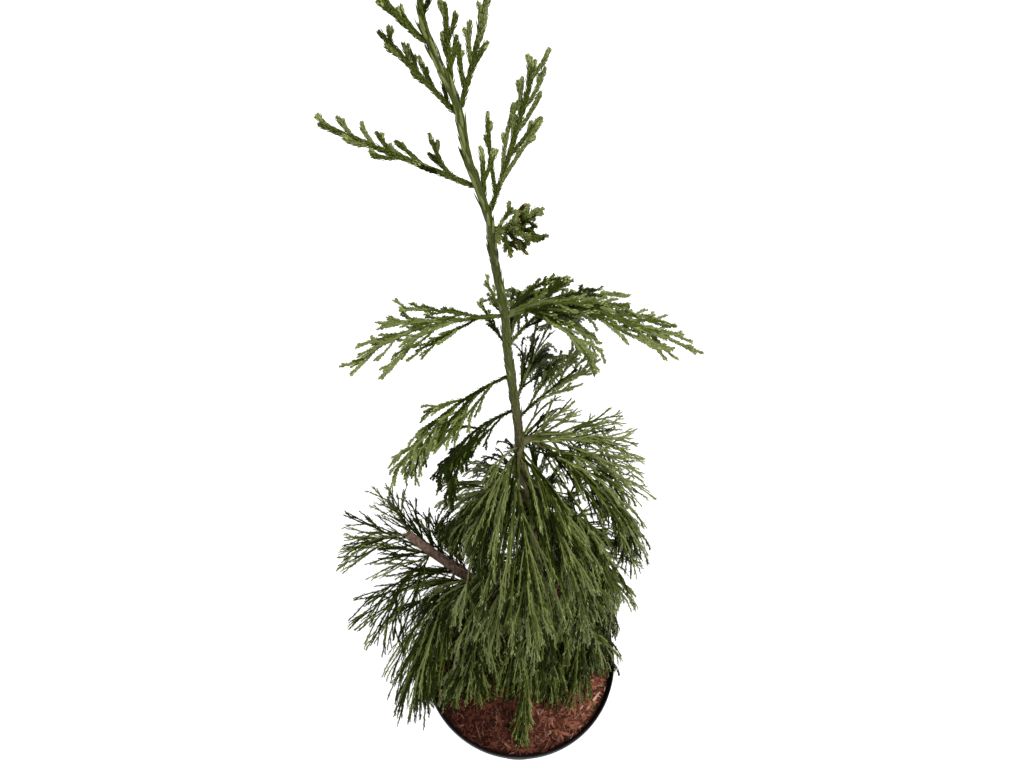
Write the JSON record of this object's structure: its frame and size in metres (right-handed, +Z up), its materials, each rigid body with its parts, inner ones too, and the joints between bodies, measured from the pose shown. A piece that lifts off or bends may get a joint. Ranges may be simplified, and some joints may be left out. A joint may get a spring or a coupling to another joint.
{
  "type": "potted weeping giant sequoia",
  "caption": "Young weeping conifer in a round nursery pot: a leaning leader over a skirt of hanging cord-like foliage.",
  "frame": {"origin": "centre of the pot's flat underside, on the surface that it stands on", "axes": "+Z up through the pot's axis, +X to the right and +Y away from the viewer of the picture"},
  "size_m": [0.2933, 0.2383, 1.017],
  "materials": {
    "black_plastic": "satin black, moulded",
    "bark_mulch": "loose red-brown bark fibre",
    "bark": "rough fibrous bark, green with scale leaves higher up",
    "fresh_foliage": "waxy fresh green scale leaves",
    "deep_foliage": "waxy dark green scale leaves"
  },
  "bodies": {
    "root": {"bark_mulch": "bark_mulch", "bough_back_1": "bark", "bough_front_low": "bark", "bough_left_woody": "bark", "bough_middle_1": "bark", "bough_middle_2": "bark", "bough_middle_3": "bark", "bough_middle_4": "bark", "bough_right_low": "bark", "bough_right_middle": "bark", "bough_upper_1": "bark", "front_left": "deep_foliage", "front_long": "deep_foliage", "front_right": "deep_foliage", "high_cluster": "fresh_foliage", "high_inner": "fresh_foliage", "high_left": "fresh_foliage", "high_right": "fresh_foliage", "low_right_front": "deep_foliage", "low_right_hanging": "deep_foliage", "low_right_outer": "deep_foliage", "low_right_upper": "deep_foliage", "middle_back": "deep_foliage", "middle_back_low": "deep_foliage", "middle_back_right": "deep_foliage", "middle_left": "fresh_foliage", "middle_left_dark": "deep_foliage", "middle_left_long": "fresh_foliage", "middle_right": "fresh_foliage", "middle_right_hanging": "deep_foliage", "middle_right_rising": "fresh_foliage", "middle_right_upper": "fresh_foliage", "pot": "black_plastic", "skirt_back_1": "deep_foliage", "skirt_back_2": "deep_foliage", "skirt_foot_1": "deep_foliage", "skirt_foot_2": "deep_foliage", "skirt_foot_3": "deep_foliage", "skirt_foot_4": "deep_foliage", "skirt_middle_1": "deep_foliage", "skirt_middle_2": "deep_foliage", "skirt_middle_3": "deep_foliage", "skirt_middle_4": "deep_foliage", "skirt_middle_5": "deep_foliage", "skirt_middle_6": "deep_foliage", "skirt_middle_7": "deep_foliage", "skirt_middle_8": "deep_foliage", "skirt_tassel": "deep_foliage", "skirt_upper_1": "deep_foliage", "skirt_upper_2": "deep_foliage", "tip_leading": "fresh_foliage", "tip_left": "fresh_foliage", "top_inner": "fresh_foliage", "top_left": "fresh_foliage", "top_right": "fresh_foliage", "trunk": "bark", "woody_left_down": "deep_foliage", "woody_left_hanging": "deep_foliage", "woody_left_out": "deep_foliage", "woody_left_up": "fresh_foliage"}
  },
  "joints": []
}
